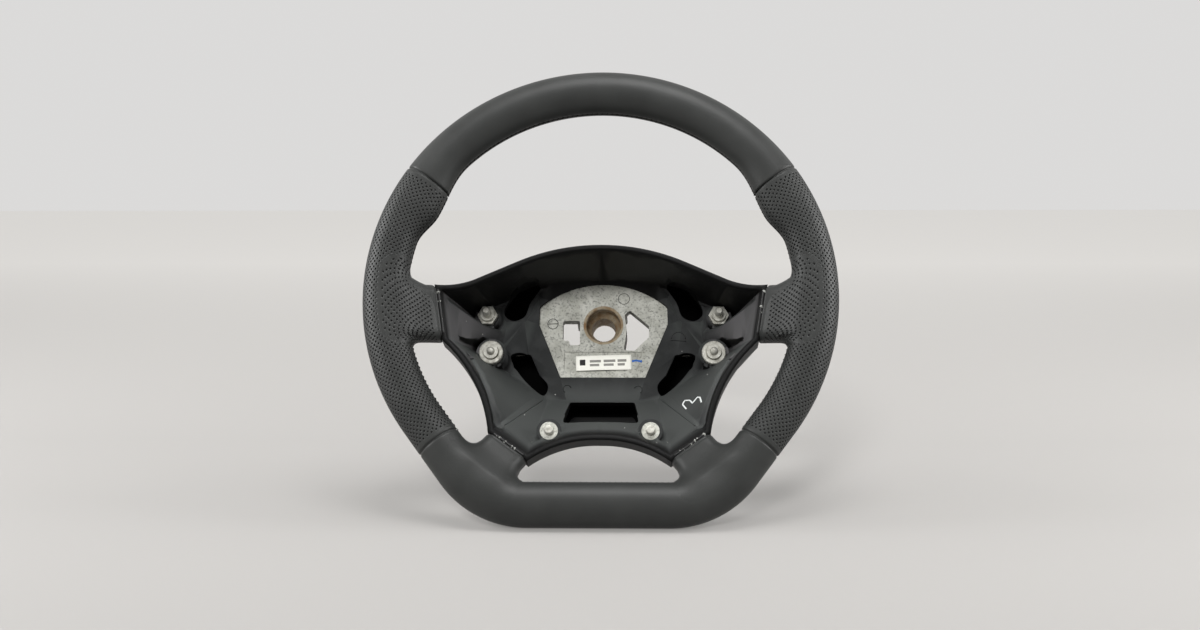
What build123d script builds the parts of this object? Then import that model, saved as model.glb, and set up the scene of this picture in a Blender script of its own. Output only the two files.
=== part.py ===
from build123d import *
import math
import os

# Car steering wheel, stripped of its airbag module: a die-cast armature with a
# steel hub bush, a foam rim with spoke stubs, a dished centre, a four-panel leather
# wrap, a rear cover and the studs that carry the module.
# Frame: X to the right, Z towards twelve o'clock, -Y towards the driver. The origin is
# on the steering axis, at the seat of the centre bolt, where the shaft bore begins.
# Depths are measured behind the middle plane of the rim.

# Rim and leather
rim_width = 385.0
grip_diameter = 36.0
flat_bottom_drop = 190.0
side_flat_angle = 36.5
corner_radius = 67.0
leather_thickness = 1.2
core_diameter = 16.0
upper_seam_angle = 34.0
lower_seam_angle = 44.0

# Thumb bulges on the inner side of the rim
thumb_angle = 27.0
thumb_span_up = 19.0
thumb_span_down = 11.0
thumb_bulge = 7.2
thumb_radius = 15.0
thumb_sink = 1.5

# Dished centre
lip_depth = 10.0
lip_width = 4.5
lip_chamfer = 1.2
rebate_depth = 34.0
floor_thickness = 8.0
floor_wall = 5.0
pocket_round = 2.5

# Spoke stubs, where the leather ends at the centre
stub_thickness = 25.0
stub_front_depth = 5.0
stub_corner_radius = 9.0
side_stub_height = 45.5
side_stub_z = -11.5
lower_stub_width = 39.0

# Hub plate, bush and shaft bore
hub_depth = 92.0
hub_recess = 4.0
hub_thickness = 11.0
hub_corner_radius = 5.0
window_round = 1.6
seat_depth = 15.0
cone_depth = 5.0
bush_diameter = 34.0
counterbore_diameter = 29.0
bore_diameter = 20.0
bore_length = 24.0
boss_diameter = 46.0
boss_length = 33.0

# Arms of the armature
arm_thickness = 5.0
side_arm_width = 15.0
lower_arm_width = 10.0

# Rear cover and its two screws
cover_wall = 2.0
cover_gap = 0.5
cover_back_depth = 124.0
cover_back_margin = 12.0
cover_shoulder = 14.0
cover_shoulder_slope = 8.0
cover_opening_diameter = 86.0
cover_post_diameter = 11.0
screw_diameter = 4.0
screw_head_diameter = 8.0
screw_head_height = 3.0
screw_floor = 3.0
screw_x = 100.0
screw_z = -12.0

# Studs that carry the airbag module
fit_clearance = 0.1
upper_stud_x = 98.0
upper_stud_z = 4.0
upper_hex_flats = 15.0
upper_hex_height = 6.0
upper_collar_diameter = 12.0
upper_collar_height = 4.0
upper_pin_diameter = 7.0
upper_pin_height = 8.0
upper_tip_diameter = 4.5
upper_tip_height = 3.0
upper_shank_diameter = 8.0
upper_boss_diameter = 22.0
upper_boss_height = 8.0
side_stud_x = 93.5
side_stud_z = -30.5
side_flange_diameter = 20.5
side_flange_height = 6.0
side_spigot_diameter = 16.0
side_sleeve_diameter = 12.5
side_sleeve_stand = 3.0
side_pin_diameter = 6.5
side_pin_stand = 5.0
side_boss_diameter = 26.0
side_boss_height = 16.0
side_well_room = 1.5
lower_stud_x = 41.0
lower_stud_z = -107.0
lower_disc_diameter = 14.6
lower_disc_height = 6.0
lower_disc_depth = 25.0
lower_pin_diameter = 7.5
lower_pin_stand = 6.0
lower_shank_diameter = 6.0
lower_ring_diameter = 20.0
lower_boss_diameter = 17.0
lower_boss_height = 13.0

# Paper label in the shallow recess of the hub plate
label_width = 48.0
label_height = 14.5
label_thickness = 0.4
label_x = 0.5
label_z = -33.0
recess_width = 66.0
recess_height = 19.0
recess_depth = 1.2

rim_y = -(hub_depth + seat_depth)
grip_radius = grip_diameter / 2
rim_radius = rim_width / 2 - grip_radius
bottom_z = -(flat_bottom_drop - grip_radius)
floor_depth = hub_depth - hub_recess
floor_back = floor_depth + floor_thickness
arm_depth = floor_back + arm_thickness / 2
flange_seat = floor_depth - side_boss_height


def at(x, depth, z):
    """Point at a depth behind the middle plane of the rim."""
    return Vector(x, rim_y + depth, z)


def drum(x, z, front, back, diameter):
    """Round bar along the steering axis between two depths."""
    base = Plane(origin=at(x, front, z), x_dir=(1, 0, 0), z_dir=(0, 1, 0))
    return base * Cylinder(diameter / 2, back - front, align=(Align.CENTER, Align.CENTER, Align.MIN))


def slab(points, front, back):
    """Flat plate with straight sides between (x, z) corners, from one depth to another."""
    corners = [at(x, front, z) for x, z in points]
    return extrude(Face(Wire.make_polygon(corners, close=True)), back - front, dir=(0, 1, 0))


def rounded_slab(points, front, back, radius):
    """Flat plate like slab, with its corners rounded."""
    plate = slab(points, front, back)
    return fillet(plate.edges().filter_by(Axis.Y), radius)


def other_side(shape):
    """The same piece on the left of the wheel."""
    return mirror(shape, about=Plane.YZ)


def both_sides(shape):
    return shape + other_side(shape)


# Rim: a round top, two slanted flats, two corners and a flat bottom.
def ring(radius):
    """Round bar of one radius along the whole centre line of the rim."""
    tilt = math.radians(side_flat_angle)
    start = at(rim_radius * math.cos(tilt), 0, -rim_radius * math.sin(tilt))
    run = Vector(-math.sin(tilt), 0, -math.cos(tilt))
    setback = corner_radius * math.tan(math.radians(90 - side_flat_angle) / 2)
    vertex = start + run * ((start.Z - bottom_z) / math.cos(tilt))
    corner_in = vertex - run * setback
    corner_out = vertex - Vector(setback, 0, 0)
    corner_centre = corner_out + Vector(0, 0, corner_radius)
    across = (0, 1, 0)
    section = Plane(origin=start, x_dir=across, z_dir=run) * Circle(radius)
    top = revolve(section, Axis((0, rim_y, 0), (0, -1, 0)), 180 + 2 * side_flat_angle)
    slant = extrude(section, (corner_in - start).length)
    corner_section = Plane(origin=corner_in, x_dir=across, z_dir=run) * Circle(radius)
    corner = revolve(corner_section, Axis(corner_centre, across), 90 - side_flat_angle)
    flat_section = Plane(origin=corner_out, x_dir=across, z_dir=(-1, 0, 0)) * Circle(radius)
    flat = extrude(flat_section, 2 * corner_out.X)
    return top + both_sides(slant + corner) + flat


def thumb_rest(inset):
    """Bulge on the inner side of the rim: circles that move inwards and back again."""
    low = grip_radius - thumb_sink - thumb_radius
    high = grip_radius + thumb_bulge - thumb_radius
    sections = []
    for share in (-1.0, -0.65, -0.32, 0.0, 0.32, 0.65, 1.0):
        span = thumb_span_up if share > 0 else thumb_span_down
        angle = math.radians(thumb_angle + share * span)
        reach = rim_radius - low - (high - low) * math.cos(share * math.pi / 2) ** 2
        centre = at(reach * math.cos(angle), 0, reach * math.sin(angle))
        along = Vector(-math.sin(angle), 0, math.cos(angle))
        place = Plane(origin=centre, x_dir=(0, 1, 0), z_dir=along)
        sections.append(place * Circle(thumb_radius - inset))
    return loft(sections)


def stub(sections, across, along, inset):
    """Spoke stub: rounded rectangles (point, width, thickness) blended towards the rim."""
    faces = []
    for centre, width, thickness in sections:
        place = Plane(origin=centre, x_dir=across, z_dir=along)
        outline = RectangleRounded(width - 2 * inset, thickness - 2 * inset, stub_corner_radius - inset)
        faces.append(place * outline)
    return loft(faces)


def side_stub(inset):
    middle = stub_front_depth + stub_thickness / 2
    root = tip_line_x - 9
    inner_edge = rim_radius - grip_radius
    sections = [
        (at(root, middle, side_stub_z), side_stub_height, stub_thickness),
        (at(inner_edge - 15, middle - 6, side_stub_z), side_stub_height, stub_thickness),
        (at(inner_edge - 5, middle - 12, side_stub_z), side_stub_height + 7, stub_thickness),
        (at(inner_edge + 6, 1, side_stub_z), side_stub_height + 24, stub_thickness - 2),
    ]
    return stub(sections, (0, 0, 1), (1, 0, 0), inset)


def lower_stub(inset):
    first = Vector(corner_low[0], 0, corner_low[1])
    last = Vector(corner_high[0], 0, corner_high[1])
    across = (last - first).normalized()
    outward = Vector(-across.Z, 0, across.X) * -1
    base = (first + last) * 0.5
    middle = stub_front_depth + stub_thickness / 2
    steps = [(-6, middle, 0), (5, middle - 3, 1), (14, middle - 9, 6), (29, 0, 28)]
    sections = []
    for travel, depth, flare in steps:
        place = base + outward * travel
        sections.append((at(place.X, depth, place.Z), lower_stub_width + flare, stub_thickness))
    return stub(sections, across, outward, inset)


# Outline of the dished centre: (x, z) points of the right half, from the crest at the
# top, round the tip at the spoke and the lower corner, to the middle of the bottom.
# Arcs pass through the second, fifth, eighth and eleventh points.
crest = (0.0, 46.0)
tip_high = (136.0, 12.0)
tip_low = (128.5, -35.0)
corner_high = (89.0, -112.0)
corner_low = (57.5, -135.0)
bottom = (0.0, -117.5)
tip_line_x = tip_high[0]
lip_half = [
    crest, (37.0, 42.0), (70.0, 31.0), (104.0, 16.0), (120.0, 12.0), tip_high, tip_low,
    (102.5, -68.0), corner_high, corner_low, (30.0, -121.5), bottom,
]
floor_half = [
    (0.0, 37.5), (33.0, 35.5), (62.0, 29.0), (94.0, 15.0), (103.0, 11.5), (110.5, 6.0), (105.0, -26.0),
    (80.0, -43.0), (54.0, -60.0), (46.0, -66.0), (24.0, -66.5), (0.0, -66.5),
]


def grown(points, amount):
    """Half outline moved outwards by an amount, each point along the middle of its two normals."""
    left = (-points[1][0], points[1][1])
    below = (-points[-2][0], points[-2][1])
    chain = [left] + points + [below]
    moved = []
    for before, here, after in zip(chain, chain[1:], chain[2:]):
        first = Vector(here[0] - before[0], here[1] - before[1]).normalized()
        second = Vector(after[0] - here[0], after[1] - here[1]).normalized()
        normal = (Vector(-first.Y, first.X) + Vector(-second.Y, second.X)).normalized()
        stretch = amount / (normal.X * -first.Y + normal.Y * first.X)
        moved.append((here[0] + normal.X * stretch, here[1] + normal.Y * stretch))
    return moved


def outline(half, depth):
    """Face of the whole outline at one depth: the half and its mirror image."""
    right = [at(x, depth, z) for x, z in half]
    left = [at(-x, depth, z) for x, z in half]
    edges = []
    for side in (right, left):
        edges.append(Edge.make_three_point_arc(side[0], side[1], side[2]))
        edges.append(Edge.make_line(side[2], side[3]))
        edges.append(Edge.make_three_point_arc(side[3], side[4], side[5]))
        edges.append(Edge.make_line(side[5], side[6]))
        edges.append(Edge.make_three_point_arc(side[6], side[7], side[8]))
        edges.append(Edge.make_line(side[8], side[9]))
        edges.append(Edge.make_three_point_arc(side[9], side[10], side[11]))
    return Face(Wire(edges))


def dish(front_half, front, back_half, back):
    """Tapered body between two outlines."""
    return loft([outline(front_half, front), outline(back_half, back)], ruled=True)


def grip(inset):
    """Rim, thumb bulges and spoke stubs as one body, set in from the leather's outer face."""
    return ring(grip_radius - inset) + both_sides(thumb_rest(inset) + side_stub(inset) + lower_stub(inset))


front_clear = lip_depth - 60
back_clear = cover_back_depth + 40
centre_block = extrude(outline(lip_half, front_clear), back_clear - front_clear, dir=(0, 1, 0))
grip_skin = grip(0.0)
grip_core = grip(leather_thickness)


# Leather: one wrap of four panels, sewn together along radial seams.
def sector(start, end):
    """Wedge of the wheel between two angles, measured from the right, counter-clockwise."""
    reach = 2 * rim_width
    middle = (start + end) / 2
    corners = [(0.0, 0.0)]
    for angle in (start, middle, end):
        turn = math.radians(angle)
        corners.append((reach * math.cos(turn), reach * math.sin(turn)))
    return slab(corners, front_clear, back_clear)


wrap = grip_skin - grip_core - centre_block
leather_upper = wrap & sector(upper_seam_angle, 180 - upper_seam_angle)
leather_right = wrap & sector(-lower_seam_angle, upper_seam_angle)
leather_left = other_side(leather_right)
leather_lower = wrap & sector(180 + lower_seam_angle, 360 - lower_seam_angle)


# Armature: rim core, four arms, hub plate with its cut-outs and boss, cast in one.
def bar(start, end, width):
    """Flat bar between two points, with round ends, its width square to the steering axis."""
    along = end - start
    across = Vector(0, 1, 0).cross(along).normalized()
    place = Plane(origin=(start + end) * 0.5, x_dir=along, z_dir=along.cross(across))
    flat = place * Box(along.length, width, arm_thickness)
    for point in (start, end):
        flat += Plane(origin=point, z_dir=across) * Cylinder(arm_thickness / 2, width)
    return flat


def arm(points, width):
    """Flat bars joined end to end."""
    whole = bar(points[0], points[1], width)
    for start, end in zip(points[1:], points[2:]):
        whole += bar(start, end, width)
    return whole


def hub_outline(depth):
    top_arc = Edge.make_three_point_arc(at(-54.5, depth, 15.5), at(0, depth, 36.0), at(54.5, depth, 15.5))
    corners = [(54.5, 15.5), (55.0, 0.0), (36.0, -47.0), (-36.0, -47.0), (-55.0, 0.0), (-54.5, 15.5)]
    points = [at(x, depth, z) for x, z in corners]
    sides = [Edge.make_line(a, b) for a, b in zip(points, points[1:])]
    return Face(Wire([top_arc] + sides))


left_window = [(-34.5, 4.0), (-20.0, 4.0), (-20.0, -17.5), (-29.0, -17.5), (-29.0, -13.5), (-34.5, -13.5)]
right_window = [
    (18.0, 9.0), (22.5, 13.5), (39.0, -0.5), (39.0, -10.5), (26.5, -22.5), (17.5, -22.0), (20.0, -4.0),
]
hub_plate = extrude(hub_outline(hub_depth), hub_thickness, dir=(0, 1, 0))
hub_plate = fillet(hub_plate.edges().filter_by(Axis.Y), hub_corner_radius)
hub_boss = drum(0, 0, hub_depth, hub_depth + boss_length, boss_diameter)
seat = drum(0, 0, hub_depth, hub_depth + boss_length, bush_diameter)
windows = rounded_slab(left_window, front_clear, back_clear, window_round)
windows += rounded_slab(right_window, front_clear, back_clear, window_round)
recess_front = at(0, hub_depth, label_z)
recess = Plane(origin=recess_front, x_dir=(1, 0, 0), z_dir=(0, 1, 0)) * Box(
    recess_width, recess_height, recess_depth, align=(Align.CENTER, Align.CENTER, Align.MIN)
)

wing_outline = [
    (44.0, -3.0), (62.0, -8.0), (84.0, -8.0), (88.0, 13.0), (105.0, 12.0), (112.0, 3.0), (113.0, -24.0),
    (104.0, -40.0), (86.0, -42.0), (82.0, -25.0), (62.0, -25.0), (40.0, -20.0),
]
wing = slab(wing_outline, floor_back, floor_back + arm_thickness)
side_z = -10.0
side_route = [
    at(113.0, arm_depth, side_z), at(126.0, 38.0, side_z), at(128.0, 26.0, side_z),
    at(139.0, 12.0, side_z), at(150.0, 6.0, side_z), at(rim_radius, 0.0, side_z),
]
side_arm = wing + arm(side_route, side_arm_width)

lower_boss_front = lower_disc_depth + lower_disc_height
lower_boss_back = lower_boss_front + lower_boss_height
lower_bend = at(lower_stud_x - 3.5, lower_boss_back - arm_thickness / 2, lower_stud_z - 3.5)
ramp_route = [at(34.0, arm_depth, -40.0), at(36.5, arm_depth, -66.0), lower_bend]
corner_route = [lower_bend, at(66.5, 20.5, -129.0), at(93.0, -3.0, -160.0)]
lower_arm = arm(ramp_route, lower_arm_width) + arm(corner_route, lower_arm_width)
lower_arm += drum(lower_stud_x, lower_stud_z, lower_boss_front, lower_boss_back, lower_boss_diameter)

screw_hole = drum(screw_x, screw_z, floor_back, cover_back_depth, screw_diameter + fit_clearance)
upper_hole = drum(upper_stud_x, upper_stud_z, lip_depth, back_clear, upper_shank_diameter + fit_clearance)
side_hole = drum(side_stud_x, side_stud_z, lip_depth, back_clear, side_spigot_diameter + fit_clearance)
lower_hole = drum(lower_stud_x, lower_stud_z, lip_depth, back_clear, lower_shank_diameter + fit_clearance)
armature = ring(core_diameter / 2) + hub_plate + hub_boss + both_sides(side_arm + lower_arm)
armature -= windows + recess + seat
armature -= both_sides(screw_hole + upper_hole + side_hole + lower_hole)

# Hub bush: turned steel, with the bolt's counterbore, a cone and the shaft bore.
bush_body = drum(0, 0, hub_depth, hub_depth + seat_depth + bore_length, bush_diameter)
counterbore = drum(0, 0, hub_depth, hub_depth + seat_depth - cone_depth, counterbore_diameter)
cone_place = Plane(origin=(0, -cone_depth, 0), x_dir=(1, 0, 0), z_dir=(0, 1, 0))
cone = cone_place * Cone(
    counterbore_diameter / 2, bore_diameter / 2, cone_depth, align=(Align.CENTER, Align.CENTER, Align.MIN)
)
bore = drum(0, 0, hub_depth, back_clear, bore_diameter)
hub_bush = bush_body - counterbore - cone - bore

# Foam rim with its spoke stubs, under the leather and round the core of the armature.
rim_foam = grip_core - centre_block - armature

# Dished centre: a tapered tray with a chamfered lip, pockets and bosses for the studs.
rebate_half = grown(lip_half, -(cover_wall + cover_gap))
lip_back = lip_depth + lip_chamfer
inner_lip = grown(lip_half, -lip_width)
dish_body = dish(grown(lip_half, -lip_chamfer), lip_depth, lip_half, lip_back)
dish_body += extrude(outline(lip_half, lip_back), rebate_depth - lip_back, dir=(0, 1, 0))
dish_body += dish(rebate_half, rebate_depth, grown(floor_half, floor_wall), floor_back)
cavity = dish(grown(lip_half, lip_chamfer - lip_width), lip_depth, inner_lip, lip_back)
cavity += dish(inner_lip, lip_back, floor_half, floor_depth)
bosses = drum(upper_stud_x, upper_stud_z, floor_depth - upper_boss_height, floor_back, upper_boss_diameter)
bosses += drum(side_stud_x, side_stud_z, floor_depth - side_boss_height, floor_back, side_boss_diameter)
bosses += drum(lower_stud_x, lower_stud_z, lower_disc_depth, floor_depth, lower_ring_diameter)
upper_corners = [(66.0, 2.0), (84.0, 2.0), (87.0, 15.0), (70.0, 23.0), (53.0, 28.0)]
middle_corners = [(61.5, -27.0), (78.0, -28.0), (76.0, -38.0), (54.0, -60.0), (48.0, -57.0)]
bottom_corners = [(27.0, -70.0), (31.0, -88.0), (-31.0, -88.0), (-27.0, -70.0)]
upper_pocket = rounded_slab(upper_corners, lip_depth, back_clear, pocket_round)
middle_pocket = rounded_slab(middle_corners, lip_depth, back_clear, pocket_round)
bottom_pocket = rounded_slab(bottom_corners, lip_depth, back_clear, pocket_round)
side_well = drum(side_stud_x, side_stud_z, front_clear, flange_seat, side_flange_diameter + side_well_room)
lower_well = drum(lower_stud_x, lower_stud_z, front_clear, lower_disc_depth, lower_ring_diameter)
lower_socket = drum(
    lower_stud_x, lower_stud_z, lip_depth, lower_boss_front, lower_disc_diameter + 2 * fit_clearance
)
hub_window = extrude(hub_outline(floor_depth), hub_thickness, dir=(0, 1, 0))
centre_dish = dish_body - cavity + (both_sides(bosses) & dish_body)
side_cuts = upper_pocket + middle_pocket + side_well + lower_well + lower_socket
centre_dish -= both_sides(side_cuts) + bottom_pocket
centre_dish -= both_sides(upper_hole + side_hole + lower_hole) + hub_window + armature

# Rear cover: a thin shell round the back of the dish, open round the column.
cover_front = rebate_depth + cover_gap / 2
shoulder_depth = cover_back_depth - cover_shoulder


def cover_form(wall):
    """Body of the cover, set in by a wall: a long taper from the lip and a short one at the shoulder."""
    front_half = grown(lip_half, -wall)
    shoulder_half = grown(floor_half, cover_back_margin - wall)
    back_half = grown(floor_half, cover_back_margin - cover_shoulder_slope - wall)
    long_taper = dish(front_half, cover_front, shoulder_half, shoulder_depth)
    return long_taper + dish(shoulder_half, shoulder_depth, back_half, cover_back_depth - wall)


rear_cover = cover_form(0.0) - cover_form(cover_wall)
rear_cover -= drum(0, 0, floor_back, back_clear, cover_opening_diameter)
post_front = floor_back + arm_thickness
post = drum(screw_x, screw_z, post_front, cover_back_depth, cover_post_diameter)
head_seat = cover_back_depth - screw_head_height - screw_floor
head_hole = drum(screw_x, screw_z, head_seat, back_clear, screw_head_diameter + 4 * fit_clearance)
rear_cover += both_sides(post)
rear_cover -= both_sides(screw_hole + head_hole)
cover_screw = drum(screw_x, screw_z, floor_back, head_seat, screw_diameter)
cover_screw += drum(screw_x, screw_z, head_seat, head_seat + screw_head_height, screw_head_diameter)


# Studs: hex guide studs above, bushed ball pins at the sides, stop studs below.
def hexagon(x, z, front, back, flats):
    face = Plane(origin=at(x, front, z), x_dir=(1, 0, 0), z_dir=(0, 1, 0)) * RegularPolygon(
        flats / 2, 6, major_radius=False
    )
    return extrude(face, back - front)


hex_seat = floor_depth - upper_boss_height
hex_front = hex_seat - upper_hex_height
collar_front = hex_front - upper_collar_height
pin_front = collar_front - upper_pin_height
tip_base = Plane(origin=at(upper_stud_x, pin_front, upper_stud_z), x_dir=(1, 0, 0), z_dir=(0, -1, 0))
upper_stud = hexagon(upper_stud_x, upper_stud_z, hex_front, hex_seat, upper_hex_flats)
upper_stud += drum(upper_stud_x, upper_stud_z, collar_front, hex_front, upper_collar_diameter)
upper_stud += drum(upper_stud_x, upper_stud_z, pin_front, collar_front, upper_pin_diameter)
upper_stud += tip_base * Cone(
    upper_pin_diameter / 2, upper_tip_diameter / 2, upper_tip_height,
    align=(Align.CENTER, Align.CENTER, Align.MIN),
)
upper_stud += drum(upper_stud_x, upper_stud_z, hex_seat, floor_back + arm_thickness, upper_shank_diameter)

flange_front = flange_seat - side_flange_height
spigot_back = floor_back + arm_thickness
sleeve_front = flange_front - side_sleeve_stand
pin_tip = sleeve_front - side_pin_stand
sleeve_bore = side_sleeve_diameter + 2 * fit_clearance
pin_bore = side_pin_diameter + 2 * fit_clearance
side_bush = drum(side_stud_x, side_stud_z, flange_front, flange_seat, side_flange_diameter)
side_bush += drum(side_stud_x, side_stud_z, flange_seat, spigot_back, side_spigot_diameter)
side_bush -= drum(side_stud_x, side_stud_z, flange_front, spigot_back, sleeve_bore)
side_sleeve = drum(side_stud_x, side_stud_z, sleeve_front, spigot_back, side_sleeve_diameter)
side_sleeve -= drum(side_stud_x, side_stud_z, sleeve_front, spigot_back, pin_bore)
ball_depth = pin_tip + side_pin_diameter / 2
side_pin = drum(side_stud_x, side_stud_z, ball_depth, spigot_back, side_pin_diameter)
side_pin += Pos(at(side_stud_x, ball_depth, side_stud_z)) * Sphere(side_pin_diameter / 2)

lower_disc = drum(lower_stud_x, lower_stud_z, lower_disc_depth, lower_boss_front, lower_disc_diameter)
lower_disc -= lower_hole
lower_stud = drum(
    lower_stud_x, lower_stud_z, lower_disc_depth - lower_pin_stand, lower_disc_depth, lower_pin_diameter
)
lower_stud = fillet(lower_stud.edges().group_by(Axis.Y)[0], lower_pin_diameter / 5)
lower_stud += drum(lower_stud_x, lower_stud_z, lower_disc_depth, lower_boss_back, lower_shank_diameter)

label_back = hub_depth + recess_depth
label_front = at(label_x, label_back - label_thickness, label_z)
label = Plane(origin=label_front, x_dir=(1, 0, 0), z_dir=(0, 1, 0)) * Box(
    label_width, label_height, label_thickness, align=(Align.CENTER, Align.CENTER, Align.MIN)
)

nodes = {
    "armature": armature,
    "hub_bush": hub_bush,
    "rim_foam": rim_foam,
    "centre_dish": centre_dish,
    "leather_upper": leather_upper,
    "leather_left": leather_left,
    "leather_right": leather_right,
    "leather_lower": leather_lower,
    "rear_cover": rear_cover,
    "label": label,
}
pairs = {
    "cover_screw": cover_screw,
    "upper_stud": upper_stud,
    "side_bush": side_bush,
    "side_sleeve": side_sleeve,
    "side_pin": side_pin,
    "lower_disc": lower_disc,
    "lower_stud": lower_stud,
}
for name, piece in pairs.items():
    nodes[name + "_right"] = piece
    nodes[name + "_left"] = other_side(piece)

os.makedirs("parts", exist_ok=True)
for name, piece in nodes.items():
    export_step(piece, os.path.join("parts", name + ".step"))
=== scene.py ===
import math

import bmesh
import bpy
import numpy as np
from mathutils import Matrix, Vector


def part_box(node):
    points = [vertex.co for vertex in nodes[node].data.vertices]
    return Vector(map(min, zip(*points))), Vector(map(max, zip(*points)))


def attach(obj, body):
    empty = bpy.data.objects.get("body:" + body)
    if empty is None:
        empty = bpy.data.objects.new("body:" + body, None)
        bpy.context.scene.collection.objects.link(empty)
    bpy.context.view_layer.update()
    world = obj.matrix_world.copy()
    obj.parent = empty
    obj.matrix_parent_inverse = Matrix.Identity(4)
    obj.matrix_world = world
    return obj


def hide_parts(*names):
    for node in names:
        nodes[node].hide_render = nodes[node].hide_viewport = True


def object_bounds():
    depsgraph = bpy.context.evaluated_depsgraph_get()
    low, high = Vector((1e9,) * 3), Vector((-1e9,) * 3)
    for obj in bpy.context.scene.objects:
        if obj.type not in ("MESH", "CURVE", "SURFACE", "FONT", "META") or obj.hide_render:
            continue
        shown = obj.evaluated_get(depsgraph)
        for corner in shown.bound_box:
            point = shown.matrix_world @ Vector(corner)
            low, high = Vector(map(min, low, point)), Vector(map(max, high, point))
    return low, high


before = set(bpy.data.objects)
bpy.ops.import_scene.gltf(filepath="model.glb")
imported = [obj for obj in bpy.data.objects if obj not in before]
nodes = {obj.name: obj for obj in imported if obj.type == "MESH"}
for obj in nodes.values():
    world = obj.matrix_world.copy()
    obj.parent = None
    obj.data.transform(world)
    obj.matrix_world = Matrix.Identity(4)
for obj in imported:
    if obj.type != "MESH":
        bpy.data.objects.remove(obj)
cad_low, cad_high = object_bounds()
scene = bpy.context.scene
scene.view_settings.view_transform = "Standard"

# Rim line
# The wheel is built on one line, the middle of the grip: round at the top, with two
# slanted flats, two corners and a flat bottom. All of it lies in one plane.
MM = 0.001
grip_low, grip_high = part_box("leather_upper")
grip_radius = (grip_high.y - grip_low.y) / 2
rim_plane = (grip_high.y + grip_low.y) / 2
rim_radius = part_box("leather_right")[1].x - grip_radius
rim_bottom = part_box("leather_lower")[0].z + grip_radius
side_flat_angle = math.radians(36.5)
corner_radius = 67 * MM

slant_heading = math.pi / 2 + side_flat_angle
slant_normal = np.array([math.sin(slant_heading), math.cos(slant_heading)])
slant_run = np.array([math.cos(slant_heading), -math.sin(slant_heading)])
slant_start = rim_radius * slant_normal
corner_turn = math.pi - slant_heading
corner_setback = corner_radius * math.tan(corner_turn / 2)
slant_length = (slant_start[1] - rim_bottom) / math.cos(side_flat_angle) - corner_setback
corner_start = slant_start + slant_run * slant_length
corner_x = corner_start[0] - corner_radius * math.sin(slant_heading)
corner_centre = np.array([corner_x, rim_bottom + corner_radius])
round_length = rim_radius * slant_heading
corner_length = corner_radius * corner_turn
slant_end = round_length + slant_length
corner_end = slant_end + corner_length
half_length = corner_end + corner_x
whole_length = 2 * half_length


def rim_line(travel):
    """Point (x, z) and outward normal at a distance along the rim from twelve o'clock, right side positive.

    The heading grows with the distance on the round top, stays on the slant, grows again
    in the corner and stays on the flat. The normal is (sin, cos) of the heading.
    """
    side = np.where(travel < 0, -1.0, 1.0)
    run = np.abs(travel)
    heading = np.clip(run, 0, round_length) / rim_radius
    heading = heading + np.clip(run - slant_end, 0, corner_length) / corner_radius
    normal = np.stack([np.sin(heading), np.cos(heading)], -1)
    on_slant = slant_start + slant_run * (run - round_length)[..., None]
    on_flat = np.stack([half_length - run, np.full_like(run, rim_bottom)], -1)
    place = np.where((run > round_length)[..., None], on_slant, rim_radius * normal)
    place = np.where((run > slant_end)[..., None], corner_centre + corner_radius * normal, place)
    place = np.where((run > corner_end)[..., None], on_flat, place)
    mirror = np.stack([side, np.ones_like(side)], -1)
    return place * mirror, normal * mirror


# Leather wrap
# Four panels of soft matt hide, sewn into a sleeve that is pulled over the foam rim and
# laced shut along its inner side. The side panels are perforated, the others smooth.
upper_seam_angle = math.radians(56)
lower_seam_angle = math.radians(44)
thumb_angle = math.radians(27)
thumb_span_up = math.radians(19)
thumb_span_down = math.radians(11)
thumb_bulge = 7.2 * MM
thumb_roundness = 2.5
seam_depth = 1.8 * MM
seam_width = 0.8 * MM
lace_depth = 0.8 * MM
lace_width = 1.2 * MM

upper_seam = rim_radius * upper_seam_angle
seam_slope = math.tan(lower_seam_angle)
seam_approach = seam_slope * slant_run[0] + slant_run[1]
lower_seam = round_length - (slant_start[1] + seam_slope * slant_start[0]) / seam_approach


def grip_surface(travel, turn, seams=(), lace=lace_depth, sink=0.0):
    """Point on the wrap at a distance along the rim and an angle round its section.

    The angle is 0 on the inner side and grows towards the driver. The radius is the grip's,
    plus a cosine-squared thumb bulge on the inner side, less a Gaussian groove at each
    cross seam and at the laced seam, and less what it sinks under a sleeve.
    """
    place, normal = rim_line(travel)
    polar = np.pi / 2 - np.abs(travel) / rim_radius
    span = np.where(polar > thumb_angle, thumb_span_up, thumb_span_down)
    share = np.clip((polar - thumb_angle) / span, -1, 1)
    inward = np.clip(np.cos(turn), 0, 1)
    radius = grip_radius + thumb_bulge * np.cos(share * np.pi / 2) ** 2 * inward**thumb_roundness
    for seam in seams:
        radius = radius - seam_depth * np.exp(-(((travel - seam) / seam_width) ** 2))
    arc = (np.mod(turn + np.pi, 2 * np.pi) - np.pi) * grip_radius
    radius = radius - lace * np.exp(-((arc / lace_width) ** 2)) - sink
    across = place - normal * (radius * np.cos(turn))[..., None]
    depth = rim_plane - radius * np.sin(turn)
    return np.stack([across[..., 0], depth, across[..., 1]], -1)


def unit(vectors):
    """The same directions with a length of one."""
    return vectors / np.linalg.norm(vectors, axis=-1, keepdims=True)


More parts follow.
